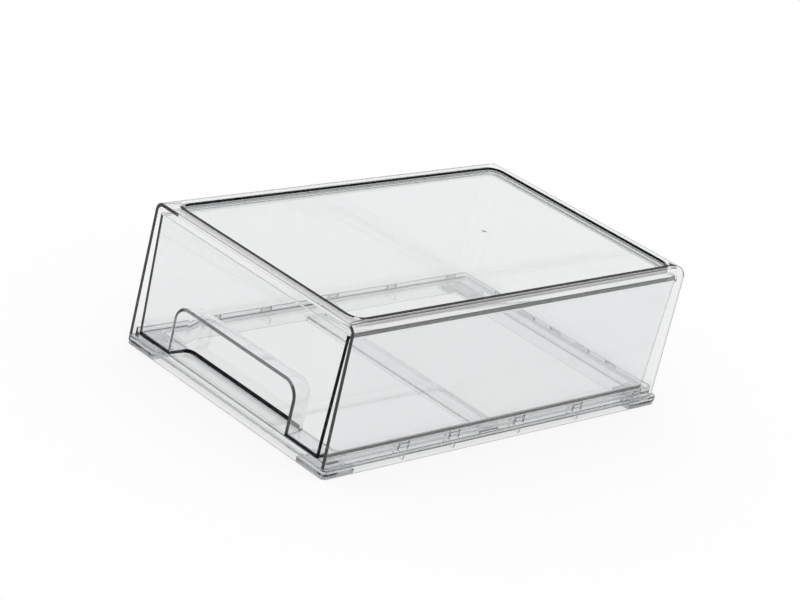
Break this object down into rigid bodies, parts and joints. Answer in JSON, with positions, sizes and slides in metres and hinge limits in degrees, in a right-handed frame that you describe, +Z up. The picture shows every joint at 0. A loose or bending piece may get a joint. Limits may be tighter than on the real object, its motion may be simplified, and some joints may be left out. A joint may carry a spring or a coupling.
{
  "type": "stackable drawer box",
  "caption": "Clear plastic box with a press-fitted base frame and one pull-out drawer that has a finger alcove; boxes stack on each other.",
  "frame": {"origin": "middle of the footprint, on the surface that the box stands on", "axes": "+Z up, the drawer's front faces -Y, +X is the width, to the right seen from the front"},
  "size_m": [0.2026, 0.325, 0.1056],
  "materials": {
    "clear_hood": "clear, polished",
    "clear_base": "clear, polished",
    "clear_drawer": "clear, polished",
    "soft_pad": "translucent, soft"
  },
  "bodies": {
    "cabinet": {"base_frame": "clear_base", "hood": "clear_hood", "pad_front_left": "soft_pad", "pad_front_right": "soft_pad", "pad_back_left": "soft_pad", "pad_back_right": "soft_pad"},
    "drawer": {"drawer": "clear_drawer"}
  },
  "joints": [
    {"name": "drawer_slide", "type": "slide", "parent": "cabinet", "child": "drawer", "axis": [0, -1, 0], "range_m": [0, 0.24]}
  ]
}
